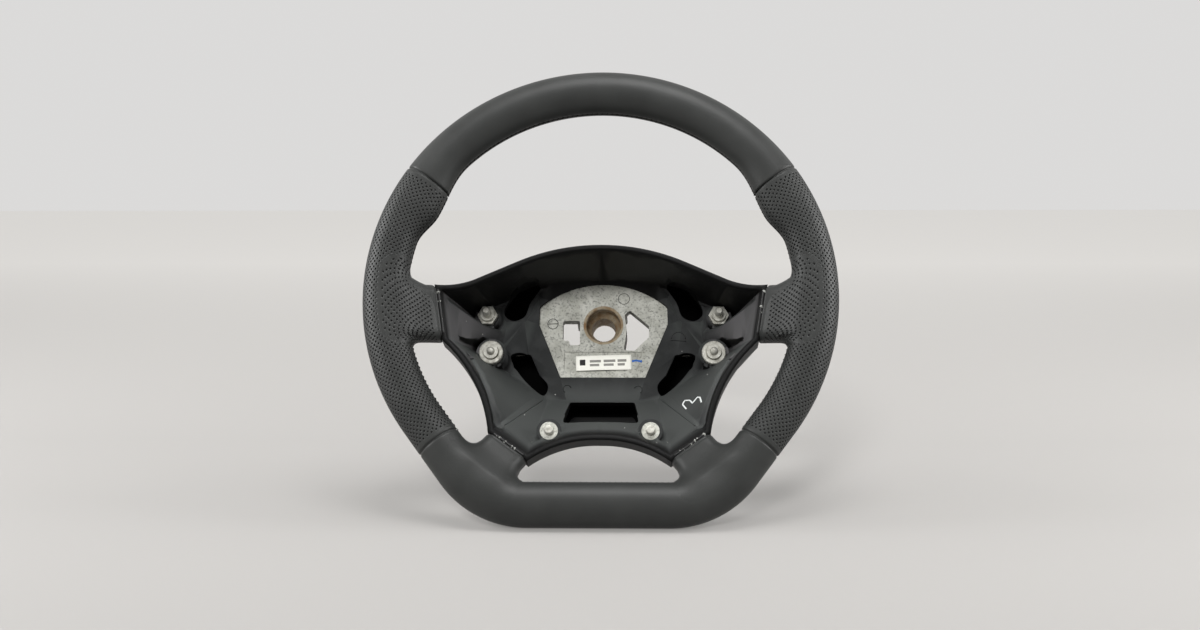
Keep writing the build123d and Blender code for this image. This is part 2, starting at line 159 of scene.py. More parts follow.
def pierced(grid, pits, hole, depth, offset):
    """Points and faces of a closed grid in which the chosen cells have an eight-sided hole, cut straight in.

    The grid is closed round its second direction and capped at both ends. A hole's ring is spanned
    by the two directions of its cell, and its floor lies at a depth along their cross product.
    """
    rows, columns = grid.shape[:2]
    index = offset + np.arange(rows * columns).reshape(rows, columns)
    beside = np.roll(index, -1, 1)
    quads = np.stack([index[:-1], index[1:], beside[1:], beside[:-1]], -1)
    points = grid.reshape(-1, 3)
    cells = quads[pits]
    corners = points[cells - offset]
    along = unit(corners[:, 1] + corners[:, 2] - corners[:, 0] - corners[:, 3])
    across = corners[:, 2] + corners[:, 3] - corners[:, 0] - corners[:, 1]
    across = unit(across - along * (along * across).sum(1, keepdims=True))
    spin = np.radians(225 + 45 * np.arange(8))[None, :, None]
    ring = corners.mean(1)[:, None] + hole * (np.cos(spin) * along[:, None] + np.sin(spin) * across[:, None])
    floor = ring - depth * np.cross(along, across)[:, None]
    top = offset + len(points) + np.arange(len(cells) * 8).reshape(-1, 8)
    low = top + top.size
    skin = quads[~pits].tolist()
    inside = low.tolist()
    for side in range(4):
        here = cells[:, side]
        after = cells[:, (side + 1) % 4]
        ring_here = top[:, 2 * side]
        ring_between = top[:, 2 * side + 1]
        ring_after = top[:, (2 * side + 2) % 8]
        skin += np.stack([here, after, ring_between], -1).tolist()
        skin += np.stack([here, ring_between, ring_here], -1).tolist()
        skin += np.stack([after, ring_after, ring_between], -1).tolist()
    for step in range(8):
        after = (step + 1) % 8
        inside += np.stack([top[:, step], top[:, after], low[:, after], low[:, step]], -1).tolist()
    skin += [index[0].tolist(), index[-1][::-1].tolist()]
    return np.concatenate([points, ring.reshape(-1, 3), floor.reshape(-1, 3)]), skin, inside


def walls(grids, masks=None, hole=0.0, depth=0.0):
    """Points, skin faces and inside faces of several closed grids as one mesh, with holes in masked cells."""
    if masks is None:
        masks = [np.zeros((grid.shape[0] - 1, grid.shape[1]), bool) for grid in grids]
    parts = []
    for grid, mask in zip(grids, masks):
        parts.append(pierced(grid, mask, hole, depth, sum(len(part[0]) for part in parts)))
    points, skin, inside = zip(*parts)
    return np.concatenate(points), sum(skin, []), sum(inside, [])


def placed(name, data):
    """New object in the scene."""
    made = bpy.data.objects.new(name, data)
    scene.collection.objects.link(made)
    return made


def put(name, wall, *finishes):
    """New object from points and faces: the skin is smooth, the inside flat and in the second finish."""
    points, skin, inside = wall
    mesh = bpy.data.meshes.new(name)
    mesh.from_pydata(points.tolist(), [], skin + inside)
    flat = np.arange(len(mesh.polygons)) >= len(skin)
    for finish in finishes:
        mesh.materials.append(finish)
    mesh.polygons.foreach_set("use_smooth", ~flat)
    mesh.polygons.foreach_set("material_index", flat.astype(np.int32))
    mesh.update()
    piece = placed(name, mesh)
    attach(piece, "root")
    return piece


def steps_between(first, last, margins, pitch):
    """Lines from one value to another: close together at both ends, as the margins say, else even."""
    inner = last - first - 2 * margins[-1]
    even = np.linspace(0, inner, round(inner / pitch) + 1)[1:-1] + first + margins[-1]
    return np.concatenate([first + margins, even, last - margins[::-1]])


def linear(code):
    """Linear colour from an sRGB hex code."""
    parts = [int(code[i:i + 2], 16) / 255 for i in (1, 3, 5)]
    return tuple(c / 12.92 if c <= 0.04045 else ((c + 0.055) / 1.055) ** 2.4 for c in parts) + (1.0,)


def feed(tree, node, inputs):
    """Set a node's inputs to values, or link them to sockets.

    A hex code stands for its linear colour, and a node for its first open output.
    """
    for key, value in inputs.items():
        if isinstance(value, str):
            value = linear(value)
        if isinstance(value, bpy.types.Node):
            value = next(socket for socket in value.outputs if socket.enabled)
        if isinstance(value, bpy.types.NodeSocket):
            tree.links.new(value, node.inputs[key])
        else:
            node.inputs[key].default_value = value


def add(tree, kind, inputs, **settings):
    """One shader node of a kind, with its settings and its inputs."""
    node = tree.nodes.new("ShaderNode" + kind)
    for key, value in settings.items():
        setattr(node, key, value)
    feed(tree, node, inputs)
    return node


def new_finish(name, colour, roughness, metallic=0.0, specular=0.5):
    """Material with one shader, its node tree and the Object coordinates that its patterns read."""
    finish = bpy.data.materials.new(name)
    finish.use_nodes = True
    tree = finish.node_tree
    shader = tree.nodes["Principled BSDF"]
    feed(tree, shader, {"Base Color": colour, "Roughness": roughness})
    feed(tree, shader, {"Metallic": metallic, "Specular IOR Level": specular})
    place = add(tree, "TexCoord", {}).outputs["Object"]
    return finish, tree, shader, place


def mottle(tree, place, size, low, high, first, second):
    """Colour that changes from one to another over patches of a real size, between two levels of noise."""
    noise = add(tree, "TexNoise", {"Vector": place, "Scale": 1 / size, "Detail": 4.0})
    level = add(tree, "MapRange", {"Value": noise, "From Min": low, "From Max": high})
    colour = add(tree, "Mix", {"Factor": level, "A": first, "B": second}, data_type="RGBA")
    return colour, noise


# The hide has a thin pigment coat: a fine pebble grain, nearly even in colour, with little gloss.
hide, tree, shader, place = new_finish("coated_hide", "#2b2c2b", 0.46, specular=0.3)
tone, _ = mottle(tree, place, 30 * MM, 0.3, 0.7, "#262726", "#2e2f2e")
grain = add(tree, "TexVoronoi", {"Vector": place, "Scale": 1 / (0.9 * MM)})
bump = add(tree, "Bump", {"Height": grain, "Strength": 0.3, "Distance": 0.15 * MM})
feed(tree, shader, {"Base Color": tone, "Normal": bump})

# Spoke sleeves
# Each end of a panel that covers a spoke leaves the dish as a rounded rectangle and runs
# out onto the rim, with a soft hollow all round. Under it the rim's own wrap lies deeper.
stub_front = 5 * MM
stub_back = 30 * MM
stub_corner = 9 * MM
stub_rise = 16.5 * MM
stub_clearance = 0.2 * MM
stub_stop = 8 * MM
edge_roll = 2.2 * MM
roll_steps = np.array([-0.4, 0.0, 0.08, 0.3, 0.6])
landing_turn = math.radians(100)
landing_corner = 16 * MM
landing_margin = 3 * MM
tuck_steps = ((1.03, 0.006), (1.06, 0.02), (1.06, 0.4), (1.06, 0.95))
face_hollow = 14 * MM
sleeve_pull = 1.1
settling_rounds = 14
sink_depth = 1.4 * MM
sink_start = 1 * MM
sink_run = 3 * MM


def rim_offset(x, z):
    """Signed distance from the rim line in its own plane, positive outwards, for points near the line."""
    x = np.abs(x)
    from_start = np.stack([x - slant_start[0], z - slant_start[1]], -1)
    along = from_start @ slant_run
    offset = np.where(along > 0, from_start @ slant_normal, np.hypot(x, z) - rim_radius)
    in_corner = np.hypot(x - corner_centre[0], z - corner_centre[1]) - corner_radius
    offset = np.where(along > slant_length, in_corner, offset)
    return np.where((along > slant_length) & (x < corner_centre[0]), rim_bottom - z, offset)


def run_along(points):
    """Distance from the first point to each point, along straight lines."""
    return np.concatenate([[0], np.cumsum(np.linalg.norm(np.diff(points, axis=0), axis=1))])


def between(values, knots, points):
    """Flat points at values between knots, on straight lines from point to point."""
    return np.stack([np.interp(values, knots, points[:, axis]) for axis in (0, 1)], -1)


def rounded_rectangle(share, half_width, half_depth, radius):
    """Points at shares of the way round a rounded rectangle, from the middle of its upper end to the back."""
    bend = np.linspace(0, np.pi / 2, 9)
    corners = []
    for quarter, side, face in ((0, 1, 1), (1, -1, 1), (2, -1, -1), (3, 1, -1)):
        angle = bend + quarter * np.pi / 2
        across = side * (half_width - radius) + radius * np.cos(angle)
        deep = face * (half_depth - radius) + radius * np.sin(angle)
        corners.append(np.stack([across, deep], -1))
    start = np.array([[half_width, 0.0]])
    loop = np.concatenate([start] + corners + [start])
    run = run_along(loop)
    return between(share * run[-1], run, loop)


def spreads(ends, hollows):
    """Distances along the rim from the middle of a sleeve to the ends of its two hollows."""
    return [math.dist(*ends) * MM / 2 + hollow + landing_margin for hollow in hollows]


def under_sleeve(travel, turn, middle, high, low):
    """How far the rim lies below a sleeve: nothing outside its oval, and the full depth well inside it."""
    from_middle = np.abs(travel - middle + (high - low) / 2) - (high + low) / 2
    arc = np.abs(np.mod(turn + np.pi, 2 * np.pi) - np.pi)
    past = np.stack([from_middle, (arc - landing_turn) * grip_radius], -1) + landing_corner
    within = landing_corner - np.linalg.norm(np.maximum(past, 0), axis=-1) - np.minimum(past.max(-1), 0)
    return sink_depth * np.clip((within - sink_start) / sink_run, 0, 1)


def sleeve_grid(ends, middle, hollows, run, ease, rows, columns):
    """Sleeve between the border of the dish and the rim.

    Each line starts as a Hermite curve from the border to a rounded oval on the rim. All points then
    move onto the smooth union of two bodies, the round rim and a bent rounded bar: the lesser of the
    two distances, less a parabola where they are alike. The border rolls in by a quarter circle.
    """
    share = np.arange(columns) / columns
    upper_end, lower_end = np.array(ends) * MM
    centre = (upper_end + lower_end) / 2
    width = np.linalg.norm(upper_end - lower_end)
    up = (upper_end - lower_end) / width
    axis = np.array([up[1], -up[0]])
    half_width = width / 2 - stub_clearance
    half_depth = (stub_back - stub_front) / 2
    stub_middle = rim_plane + (stub_front + stub_back) / 2
    reach = (rim_line(np.array(middle))[0] - centre) @ axis - stub_stop

    def rise(out):
        """How far the bar has come forward at a distance out of the dish: a power that eases into its end."""
        return stub_rise * (1 - (1 - np.clip(out / run, 0, 1)) ** ease)

    def border(inset, out):
        """Outline of the bar at a distance out of the dish, made smaller all round by an inset."""
        loop = rounded_rectangle(share, half_width - inset, half_depth - inset, stub_corner - inset)
        flat = centre + loop[:, :1] * up + out * axis
        return np.stack([flat[:, 0], stub_middle + loop[:, 1] - rise(out), flat[:, 1]], -1)

    def union(points):
        """Distance from the smooth union of the rim and the bar."""
        flat = points[..., [0, 2]] - centre
        out, across = flat @ axis, flat @ up
        depth = points[..., 1] - stub_middle + rise(out)
        past = np.stack([np.abs(across) - half_width, np.abs(depth) - half_depth, out - reach], -1)
        past = past + stub_corner
        bar = np.linalg.norm(np.maximum(past, 0), axis=-1) + np.minimum(past.max(-1), 0) - stub_corner
        tube = np.hypot(rim_offset(points[..., 0], points[..., 2]), points[..., 1] - rim_plane) - grip_radius
        facing = np.sin(np.arctan2(np.abs(depth) / half_depth, across / half_width)) ** 2
        hollow = face_hollow * facing + np.where(across > 0, *hollows) * (1 - facing)
        alike = np.clip(hollow - np.abs(tube - bar), 0, None) / hollow
        return np.minimum(tube, bar) - alike**2 * hollow / 4

    def landing(scale):
        """Travel and turn of the oval on the rim where the sleeve ends, scaled about its middle."""
        high, low = spreads(ends, hollows)
        oval = rounded_rectangle(share, (high + low) / 2, landing_turn * grip_radius, landing_corner)
        travel = middle - scale * (oval[:, 0] + (high - low) / 2)
        return travel, -scale * oval[:, 1] / grip_radius

    rolled = []
    for out in edge_roll * roll_steps:
        short = edge_roll - max(out, 0)
        rolled.append(border(edge_roll - math.sqrt(edge_roll**2 - short**2), out))
    first = border(0.0, edge_roll)
    leave = unit(border(0.0, 2 * edge_roll) - first)
    last = grip_surface(*landing(1.0), lace=0.0)
    arrive = unit(grip_surface(*landing(1.05), lace=0.0) - last)
    pull = sleeve_pull * np.linalg.norm(last - first, axis=1, keepdims=True)
    t = np.linspace(0, 1, rows)[:, None, None]
    swept = (2 * t**3 - 3 * t**2 + 1) * first + (t**3 - 2 * t**2 + t) * pull * leave
    swept = swept + (3 * t**2 - 2 * t**3) * last + (t**3 - t**2) * pull * arrive
    nudge = 0.05 * MM
    for _ in range(settling_rounds):
        change = [union(swept + nudge * e) - union(swept - nudge * e) for e in np.eye(3)]
        slope = np.stack(change, -1) / (2 * nudge)
        swept = swept - (union(swept) / (slope**2).sum(-1))[..., None] * slope
    tucked = []
    for scale, inwards in tuck_steps:
        travel, turn = landing(scale)
        core = rim_line(travel)[0]
        core = np.stack([core[:, 0], np.full(columns, rim_plane), core[:, 1]], -1)
        tucked.append(core + (grip_surface(travel, turn, lace=0.0) - core) * (1 - inwards))
    return np.concatenate([np.stack(rolled), swept, np.stack(tucked)])


def mirrored(grid):
    """The same grid on the left of the wheel, still facing outwards."""
    return grid[:, ::-1] * np.array([-1.0, 1.0, 1.0])


side_ends = ((136.0, 12.0), (128.5, -35.0))
side_drop = 11.5 * MM
side_middle = rim_radius * (math.pi / 2 + math.asin(side_drop / rim_radius))
side_hollows = (16 * MM, 9 * MM)
side_run = 32 * MM
side_ease = 1.4
side_rows = 21
side_columns = 68
lower_ends = ((89.0, -112.0), (57.5, -135.0))
lower_middle = 453.5 * MM
lower_hollows = (14 * MM, 17 * MM)
lower_run = 28 * MM
lower_ease = 1.0
lower_rows = 40
lower_columns = 96
side_sleeve_grid = sleeve_grid(
    side_ends, side_middle, side_hollows, side_run, side_ease, side_rows, side_columns
)
lower_sleeve_grid = sleeve_grid(
    lower_ends, lower_middle, lower_hollows, lower_run, lower_ease, lower_rows, lower_columns
)

# Perforated side panels
# The holes are punched through the hide in a diamond lattice that stops short of every seam.
# Their walls and floors are painted near-black, as painted shade in the holes.
hole_radius = 0.76 * MM
hole_depth = 0.55 * MM
lattice_pitch = 2.15 * MM
seam_margins = np.array([0, 0.5, 1.0, 1.6, 2.4, 3.4, 4.6]) * MM
lace_margins = np.array([0, 0.35, 0.8, 1.3, 2.0, 2.9, 4.0]) * MM / grip_radius
border_rows = 6
landing_rows = 5


def checkers(rows, columns, first_rows, last_rows, margin):
    """True for every second cell of a grid, apart from rows at both ends and columns at both sides."""
    row, column = np.indices((rows, columns))
    in_rows = (row >= first_rows) & (row < rows - last_rows)
    in_columns = (column >= margin) & (column < columns - margin)
    return in_rows & in_columns & ((row + column) % 2 == 0)


side_travel = steps_between(upper_seam, lower_seam, seam_margins, lattice_pitch)
side_turn = steps_between(0, 2 * np.pi, lace_margins, lattice_pitch / grip_radius)[:-1]
travel, turn = np.meshgrid(side_travel, side_turn, indexing="ij")
sink = under_sleeve(travel, turn, side_middle, *spreads(side_ends, side_hollows))
tube_grid = grip_surface(travel, turn, (upper_seam, lower_seam), sink=sink)
seam_rows = len(seam_margins) - 1
lace_columns = len(lace_margins) - 1
tube_pits = checkers(len(side_travel) - 1, len(side_turn), seam_rows, seam_rows, lace_columns)
sleeve_pits = checkers(len(side_sleeve_grid) - 1, side_columns, border_rows, landing_rows, 0)
# Painted shade: the holes' walls and floors are near-black to stand for the shade inside them.
hole_shade = new_finish("painted_hole_shade", "#0b0b0b", 0.9)[0]
for name, turn_over in (("leather_right", False), ("leather_left", True)):
    grids = [tube_grid, side_sleeve_grid]
    masks = [tube_pits, sleeve_pits]
    if turn_over:
        grids = [mirrored(grid) for grid in grids]
        masks = [np.roll(mask[:, ::-1], -1, 1) for mask in masks]
    panel = put(name + "_wrap", walls(grids, masks, hole_radius, hole_depth), hide, hole_shade)
    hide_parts(name)

# Smooth upper and lower panels
# The upper one covers the round top. The lower one covers the flat bottom, both corners and
# the two lower spokes.
smooth_pitch = 1.9 * MM
upper_pitch = 2.5 * MM
lower_pitch = 2.2 * MM

smooth_turn = steps_between(0, 2 * np.pi, lace_margins, smooth_pitch / grip_radius)[:-1]
upper_travel = steps_between(-upper_seam, upper_seam, seam_margins, upper_pitch)
upper_grid = grip_surface(*np.meshgrid(upper_travel, smooth_turn, indexing="ij"), (-upper_seam, upper_seam))
leather_upper = put("leather_upper_wrap", walls([upper_grid]), hide)
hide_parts("leather_upper")

lower_travel = steps_between(lower_seam, whole_length - lower_seam, seam_margins, lower_pitch)
lower_travel = np.where(lower_travel > half_length, lower_travel - whole_length, lower_travel)
travel, turn = np.meshgrid(lower_travel, smooth_turn, indexing="ij")
sink = under_sleeve(np.abs(travel), turn, lower_middle, *spreads(lower_ends, lower_hollows))
lower_grid = grip_surface(travel, turn, (lower_seam, -lower_seam), sink=sink)
lower_walls = walls([lower_grid, lower_sleeve_grid, mirrored(lower_sleeve_grid)])
leather_lower = put("leather_lower_wrap", lower_walls, hide)
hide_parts("leather_lower")

# Lacing
# One black waxed thread closes the wrap along its inner side, in short slanting stitches.
# It stops short of every spoke.
stitch_pitch = 4.6 * MM
stitch_reach = 2.0 * MM
stitch_slant = 0.9 * MM
stitch_rise = 0.6 * MM
stitch_sink = 0.45 * MM
thread_radius = 0.36 * MM
thread_fullness = 1.02
thread_taper = 0.8
above_side = 42 * MM
below_side = 36 * MM
above_lower = 45 * MM
below_lower = 46 * MM


def stitches(spans):
    """Short round threads across the laced seam: each a bow over the groove, thinner at its ends."""
    middles = np.concatenate([np.arange(first, last, stitch_pitch) for first, last in spans])
    along = np.linspace(-1, 1, 7)
    ring = np.linspace(0, 2 * np.pi, 6, endpoint=False)
    travel = middles[:, None] + stitch_slant * along
    travel = np.where(travel > half_length, travel - whole_length, travel)
    turn = np.broadcast_to(stitch_reach * along / grip_radius, travel.shape)
    base = grip_surface(travel, turn, lace=0.0)
    out = unit(grip_surface(travel, turn, lace=-MM) - base)
    path = base + out * (stitch_rise * (1 - along**2) - stitch_sink)[None, :, None]
    beside = np.cross(unit(np.gradient(path, axis=1)), out)
    thick = thread_radius * np.sqrt(thread_fullness - along**2 * thread_taper)[None, :, None, None]
    around = np.cos(ring)[:, None] * out[:, :, None] + np.sin(ring)[:, None] * beside[:, :, None]
    return walls((path[:, :, None] + thick * around)[:, :, ::-1])


thread = new_finish("waxed_thread", "#121212", 0.8, specular=0.15)[0]
laced_spans = [
    (-side_middle + above_side, side_middle - above_side),
    (side_middle + below_side, lower_middle - above_lower),
    (lower_middle + below_lower, whole_length - lower_middle - below_lower),
    (whole_length - lower_middle + above_lower, whole_length - side_middle - below_side),
]
put("lacing", stitches(laced_spans), thread)


# Rim foam
# Polyurethane foam, moulded round the rim and spokes of the armature and hidden by the wrap. Behind
# the spokes it comes through the sleeves a little, so it wears the hide's finish.
def dress(finish, *names):
    """Give a finish to nodes of the frame."""
    for name in names:
        nodes[name].data.materials.clear()
        nodes[name].data.materials.append(finish)


dress(hide, "rim_foam")

# Dished centre
# Black integral-skin foam from a grained steel tool. A shelf runs down from each tip to the floor
# between the studs, deep pockets go right through, and a groove follows each lower side. Outlines
# are in mm, and so are depths, which count from the rim's plane.
floor_level = 88.0
shelf_tip = 131.0
shelf_foot = 84.0
shelf_knee = 100.0
shelf_fall = 73.0
shelf_power = 1.2
shelf_sink = 0.4
shelf_top = -6.0
shelf_top_gain = 11.0
shelf_bottom = -18.0
shelf_bottom_gain = 7.0
shelf_bottom_run = 12.0
shelf_edge = 1.5
shelf_skirt = 26.0
shelf_inset = 4.0
middle_front = 30.0
bottom_front = 15.0
through = 112.0
plug_sink = 0.02
plug_depth = 8.0
groove_radius = 6 * MM
groove_lift = 2.6 * MM
flat_normal = 0.9995
crease_angle = math.radians(28)
edge_radius = 1.2 * MM
grain_depth = 0.2 * MM


def moulded_grain(tree, shader, place, size, strength, samples):
    """Fine grain of a moulded surface: noise of a size as a bump, over edges that look rounded.

    The real grain is finer. It is drawn as coarse as it needs to be to show.
    """
    edges = add(tree, "Bevel", {"Radius": edge_radius}, samples=samples)
    noise = add(tree, "TexNoise", {"Vector": place, "Scale": 1 / size, "Detail": 2.0})
    relief = {"Height": noise, "Strength": strength, "Distance": grain_depth, "Normal": edges}
    feed(tree, shader, {"Normal": add(tree, "Bump", relief)})


# Its skin is black and low in gloss, with softly rounded edges. Towards the tips it is painted a
# lighter grey, as a painted reflection. What faces up behind the lip is painted grey, as dust and
# painted top light. The upper wall, which faces down, and the lip's crest are painted near-black,
# as painted shade, and so are the pockets' walls.
dish_skin, tree, shader, place = new_finish("moulded_skin", "#2a2b2b", 0.58, specular=0.18)
bare, _ = mottle(tree, place, 14 * MM, 0.45, 0.75, "#2b2c2c", "#383939")
axes = add(tree, "SeparateXYZ", {"Vector": place}).outputs
from_axis = add(tree, "Math", {0: axes["X"]}, operation="ABSOLUTE")
skin_normal = add(tree, "TexCoord", {}).outputs["Normal"]
upward = add(tree, "SeparateXYZ", {"Vector": skin_normal}).outputs["Z"]
ramps = []
for value, first, last in (
    (from_axis, 84 * MM, 110 * MM),
    (upward, 0.04, 0.4),
    (axes["Y"], rim_plane + 15 * MM, rim_plane + 24 * MM),
    (upward, -0.55, -0.1),
    (axes["Y"], rim_plane + 13 * MM, rim_plane + 22 * MM),
):
    ramps.append(add(tree, "MapRange", {"Value": value, "From Min": first, "From Max": last}))
towards_tip, facing_up, inner, open_wall, behind_lip = ramps
# Dust and painted top light: what faces up behind the lip turns a lighter grey.
dust_and_top_light_share = add(tree, "Math", {0: facing_up, 1: inner}, operation="MULTIPLY")
# Painted shade: the upper wall, which faces down, and the lip's crest are kept near-black.
outside_painted_shade = add(tree, "Math", {0: open_wall, 1: behind_lip}, operation="MULTIPLY")
# Painted reflection: the skin turns a lighter grey towards the tips.
painted_tip_reflection = add(tree, "Mix", {"Factor": towards_tip, "A": bare, "B": "#5c5b5c"}, data_type="RGBA")
dust_and_top_light = add(tree, "Mix", {"Factor": dust_and_top_light_share, "A": painted_tip_reflection, "B": "#3f4140"}, data_type="RGBA")
skin_with_painted_light = add(tree, "Mix", {"Factor": outside_painted_shade, "A": "#0c0c0c", "B": dust_and_top_light}, data_type="RGBA")
feed(tree, shader, {"Base Color": skin_with_painted_light})
moulded_grain(tree, shader, place, 0.7 * MM, 0.2, 6)
# Painted shade: the pockets' walls are near-black, standing for the shade deep inside them.
pocket_shade = new_finish("pocket_shade", "#070707", 0.95, specular=0.1)[0]


def back_of(x, z):
    """Depth in mm behind the rim's plane, a wall's thickness inside the back of the cover or the dish."""
    start = Vector((x * MM, cad_high.y + 50 * MM, z * MM))
    hits = [nodes[name].ray_cast(start, Vector((0, -1, 0))) for name in ("rear_cover", "centre_dish")]
    return max([(hit[1].y - rim_plane) / MM for hit in hits if hit[0]], default=0.0) - shelf_inset


def shelf(side):
    """Sloping shelf: its height over the floor is a power, a little over one, of the distance from its foot.

    It widens upwards in proportion to the distance past its knee, and downwards over a shorter run.
    Its skirt goes down on both sides, but not past the inside of the cover.
    """
    x = np.linspace(shelf_tip, shelf_foot, 24)
    out = (x - shelf_foot) / (shelf_tip - shelf_foot)
    depth = floor_level + shelf_sink - shelf_fall * out**shelf_power
    upper = shelf_top + shelf_top_gain * np.clip((x - shelf_knee) / (shelf_tip - shelf_knee), 0, 1)
    lower = shelf_bottom - shelf_bottom_gain * np.clip((x - shelf_knee) / shelf_bottom_run, 0, 1)
    section = [
        (upper, shelf_skirt), (upper, shelf_edge), (upper - shelf_edge, 0),
        (lower + shelf_edge, 0), (lower, shelf_edge), (lower, shelf_skirt),
    ]
    rows = []
    for high, down in section:
        limit = np.array([back_of(*point) for point in np.stack([side * x, high], -1)])
        deep = np.minimum(depth + down, np.maximum(limit, depth + shelf_edge))
        rows.append(np.stack([side * x, deep, high], -1))
    grid = np.stack(rows, 1) * MM + np.array([0, rim_plane, 0])
    return grid if side > 0 else grid[:, ::-1]


def closed_curve(corners):
    """Smooth closed line through (x, z) corners: cubics whose ends point along their neighbours' chord."""
    here = np.array(corners)[:, None]
    before, after, beyond = np.roll(here, 1, 0), np.roll(here, -1, 0), np.roll(here, -2, 0)
    t = np.linspace(0, 1, 8, endpoint=False)[None, :, None]
    line = here + t * (after - before) / 2 + t**2 * (before - 2.5 * here + 2 * after - beyond / 2)
    return (line + t**3 * (1.5 * (here - after) + (beyond - before) / 2)).reshape(-1, 2)


def well(outline, depths, scales=(1.0, 1.0)):
    """Hole along Y on a closed (x, z) outline, scaled about its lowest point at depths behind the rim."""
    foot = outline[np.argmin(outline[:, 1])]
    rows = [np.insert(foot + (outline - foot) * scale, 1, depth, 1) for depth, scale in zip(depths, scales)]
    return np.stack(rows) * MM + np.array([0, rim_plane, 0])


def front_of(piece, point):
    """Place and normal where a line along Y through (x, z) meets the front of a piece."""
    start = Vector((point[0], cad_low.y - 50 * MM, point[1]))
    return piece.ray_cast(start, Vector((0, 1, 0)))[1:3]


def channel(path, radius, lift):
    """Round bar along (x, z) points, its middle lifted off the front of the dish by a distance."""
    t = np.linspace(0, len(path) - 1, 24)
    line = between(t, np.arange(len(path)), path) * MM
    hits = [front_of(nodes["centre_dish"], point) for point in line]
    middle = np.array([place + normal * lift for place, normal in hits])
    ahead = unit(np.gradient(middle, axis=0))
    beside = unit(np.cross(ahead, [0.0, 1.0, 0.0]))
    above = np.cross(beside, ahead)
    spin = np.linspace(0, 2 * np.pi, 20, endpoint=False)[None, :, None]
    return middle[:, None] + radius * (np.cos(spin) * beside[:, None] + np.sin(spin) * above[:, None])


def body(name, grids, finish):
    """Closed bodies on grids with one finish, as an object for a cut or a join, all faces turned outwards."""
    points, faces, _ = walls(grids)
    mesh = bpy.data.meshes.new(name)
    mesh.from_pydata(points.tolist(), [], faces)
    shape = bmesh.new()
    shape.from_mesh(mesh)
    bmesh.ops.recalc_face_normals(shape, faces=shape.faces)
    shape.to_mesh(mesh)
    shape.free()
    mesh.materials.append(finish)
    return placed(name, mesh)


# The plugs close the floor where the solid has its plainer upper pockets, before the wells are cut.
upper_pocket = closed_curve([
    (85, 10), (78, 2.8), (67.5, 6.5), (62.5, 19), (53, 34), (56, 40), (66, 36.5), (79, 23),
])
middle_pocket = closed_curve([
    (78.5, -29), (70, -25.5), (61.5, -30), (55, -43), (46.5, -54), (50, -63), (60, -56), (71.5, -43),
])
bottom_pocket = closed_curve([
    (0, -71), (16, -71.5), (25, -77), (29.5, -87), (29.5, -96), (15, -97),
    (0, -97), (-15, -97), (-29.5, -96), (-29.5, -87), (-25, -77), (-16, -71.5),
])
side_groove = np.array([(107, -43), (97, -60), (88.5, -79), (83.5, -96), (81.5, -106)])
plug_outline = np.array([(65, 1), (85, 1), (88.5, 15.5), (70, 24.5), (52, 29.5)])
plug_depths = (floor_level + plug_sink, floor_level + plug_depth)
round_depths = (50.0, 62.0, 74.0, 86.0, through)
round_scales = (0.4, 0.75, 0.92, 1.0, 1.0)
wells = [well(bottom_pocket, (bottom_front, through))]
grooves, fills = [], []
for side in (1, -1):
    mirror = np.array([side, 1.0])
    wells.append(well(upper_pocket * mirror, round_depths, round_scales))
    wells.append(well(middle_pocket * mirror, (middle_front, through)))
    grooves.append(channel(side_groove * mirror, groove_radius, groove_lift))
    fills += [shelf(side), well(plug_outline * mirror, plug_depths)]
carving = (
    ("UNION", body("dish_fills", fills, dish_skin)),
    ("DIFFERENCE", body("dish_grooves", grooves, dish_skin)),
    ("DIFFERENCE", body("dish_wells", wells, pocket_shade)),
)

shape = bmesh.new()
shape.from_mesh(nodes["centre_dish"].data)
bmesh.ops.remove_doubles(shape, verts=shape.verts, dist=0.001 * MM)
merged = bpy.data.meshes.new("centre_dish_merged")
shape.to_mesh(merged)
shape.free()
merged.materials.append(dish_skin)
rough = placed("centre_dish_merged", merged)
for operation, other in carving:
    cut = rough.modifiers.new(operation, "BOOLEAN")
    cut.operation = operation
    cut.solver = "EXACT"
    cut.material_mode = "TRANSFER"
    cut.use_self = True
    cut.object = other
bpy.context.view_layer.update()
carved = bpy.data.meshes.new_from_object(rough.evaluated_get(bpy.context.evaluated_depsgraph_get()))
for spare in [rough] + [other for _, other in carving]:
    bpy.data.objects.remove(spare)
normals = np.zeros(3 * len(carved.polygons))
carved.polygons.foreach_get("normal", normals)
carved.polygons.foreach_set("use_smooth", normals[1::3] > -flat_normal)
carved.set_sharp_from_angle(angle=crease_angle)
dish = placed("centre_dish_moulded", carved)
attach(dish, "root")
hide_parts("centre_dish")

# Marks on the centre
# Raised marks of the mould, a parting line down each leg, and a low near-black bead where the
# leather ends, as painted shade of the gap there, with torn foam along it. Specks of dust lie
# about, and a stroke of white paint was left by hand on a wall.
strip_pitch = 1.2 * MM
strip_sink = 0.1 * MM
strip_depth = 0.6 * MM
line_width = 0.9 * MM
bead_width = 2.6 * MM
bead_height = 0.7 * MM
clock_height = 0.45 * MM
tip_border = np.array([(133.0, 7.5), (127.4, -29.5)])
leg_border = np.array([(84.2, -112.8), (60.2, -130.3)])
parting_path = np.array([(50, -68), (77, -103)])
flake_root = 0.5 * MM
flake_edge = 0.15 * MM
speck_size = 0.6


